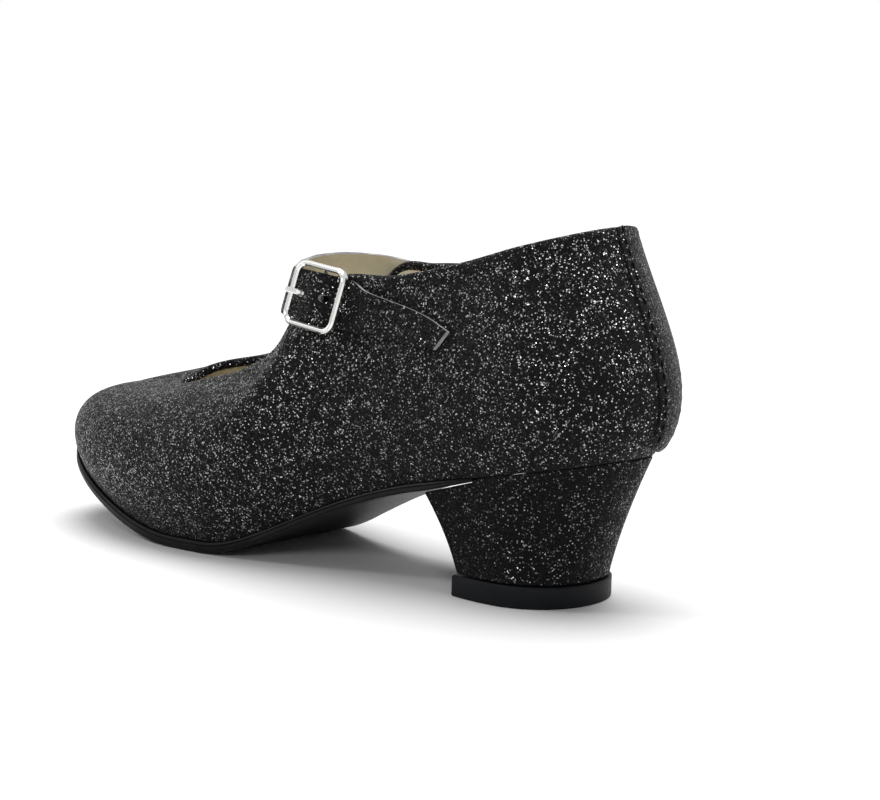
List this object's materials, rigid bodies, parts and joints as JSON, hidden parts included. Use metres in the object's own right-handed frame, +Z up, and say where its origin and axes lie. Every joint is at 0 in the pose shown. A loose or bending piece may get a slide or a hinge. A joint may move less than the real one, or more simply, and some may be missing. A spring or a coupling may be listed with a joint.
{
  "type": "child's flamenco shoe with a buckled strap",
  "caption": "Low heeled dance shoe for a child, rounded toe, low cut vamp, one strap over the instep with a square buckle, and a covered block heel with a rubber tip.",
  "frame": {"origin": "on the floor, at the centre of the heel tip's flat bottom face", "axes": "+X towards the toe along the line of the heel seat, +Y to the outer side of this left shoe where the buckle is, +Z up"},
  "size_m": [0.18, 0.0665, 0.0814],
  "materials": {
    "glitter_fabric": "black fabric covered in fine silver glitter, cream lining inside",
    "sole_leather": "black, smooth, satin edge",
    "cream_insock": "cream, matt",
    "heel_cover": "black glitter fabric glued over a block heel",
    "tip_rubber": "black, smooth, slight sheen",
    "back_strip_fabric": "black glitter fabric, edge stitched",
    "strap_fabric": "black glitter fabric with pale cut edges",
    "nickel": "bright nickel plate",
    "prong_nickel": "bright nickel plate",
    "tab_leather": "black, matt"
  },
  "bodies": {
    "root": {"upper": "glitter_fabric", "outsole": "sole_leather", "insole": "cream_insock", "heel": "heel_cover", "heel_tip": "tip_rubber", "back_strip": "back_strip_fabric", "strap": "strap_fabric", "buckle": "nickel", "buckle_prong": "prong_nickel", "buckle_tab": "tab_leather"}
  },
  "joints": []
}
